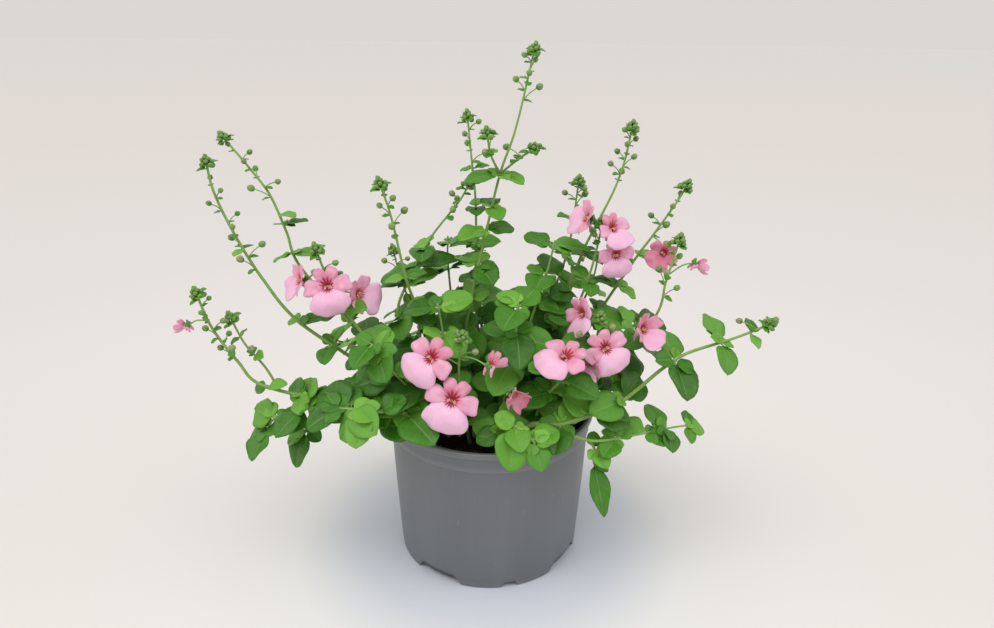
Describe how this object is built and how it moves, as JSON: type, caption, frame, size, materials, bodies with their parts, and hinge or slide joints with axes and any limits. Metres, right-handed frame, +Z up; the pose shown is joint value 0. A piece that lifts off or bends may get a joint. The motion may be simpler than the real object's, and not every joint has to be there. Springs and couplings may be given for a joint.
{
  "type": "potted twinspur",
  "caption": "Bushy twinspur with pink two-spurred flowers and bud spikes, growing in a round nursery pot that stands on its own foot.",
  "frame": {"origin": "middle of the flat pad under the pot, on the surface that the pot stands on", "axes": "+Z up along the pot's axis, -Y towards the front of the plant, +X to the right seen from the front"},
  "size_m": [0.3107, 0.1826, 0.2879],
  "materials": {
    "pot_plastic": "satin",
    "potting_mix": "matte",
    "foliage": "satin",
    "petals": "matte"
  },
  "bodies": {
    "root": {"flower_front_faded": "petals", "flower_front_high": "petals", "flower_front_low": "petals", "flower_front_right": "petals", "flower_front_turned": "petals", "flower_left_bud": "petals", "flower_left_inner": "petals", "flower_left_middle": "petals", "flower_left_outer": "petals", "flower_rear_low": "petals", "flower_rear_side": "petals", "flower_rear_top": "petals", "flower_right_bud": "petals", "flower_right_lower": "petals", "flower_right_open": "petals", "flower_right_outer": "petals", "flower_right_salmon": "petals", "flower_right_upper": "petals", "pot": "pot_plastic", "potting_mix": "potting_mix", "shoot_back_centre": "foliage", "shoot_back_left": "foliage", "shoot_back_left_low": "foliage", "shoot_back_low": "foliage", "shoot_back_right": "foliage", "shoot_back_right_low": "foliage", "shoot_centre_left": "foliage", "shoot_centre_rear": "foliage", "shoot_centre_right": "foliage", "shoot_centre_tall": "foliage", "shoot_front_centre": "foliage", "shoot_front_draping": "foliage", "shoot_front_flowering": "foliage", "shoot_front_left": "foliage", "shoot_front_left_upper": "foliage", "shoot_front_right": "foliage", "shoot_left_arching": "foliage", "shoot_left_hanging": "foliage", "shoot_left_low": "foliage", "shoot_left_middle": "foliage", "shoot_left_outer": "foliage", "shoot_left_slender": "foliage", "shoot_left_upper_front": "foliage", "shoot_left_upper_rear": "foliage", "shoot_rear_left_upper": "foliage", "shoot_rear_right_upper": "foliage", "shoot_right_flowering": "foliage", "shoot_right_front": "foliage", "shoot_right_inner": "foliage", "shoot_right_long": "foliage", "shoot_right_low": "foliage", "shoot_right_middle": "foliage", "shoot_right_rear": "foliage", "shoot_right_tall": "foliage", "shoot_right_upper": "foliage"}
  },
  "joints": []
}
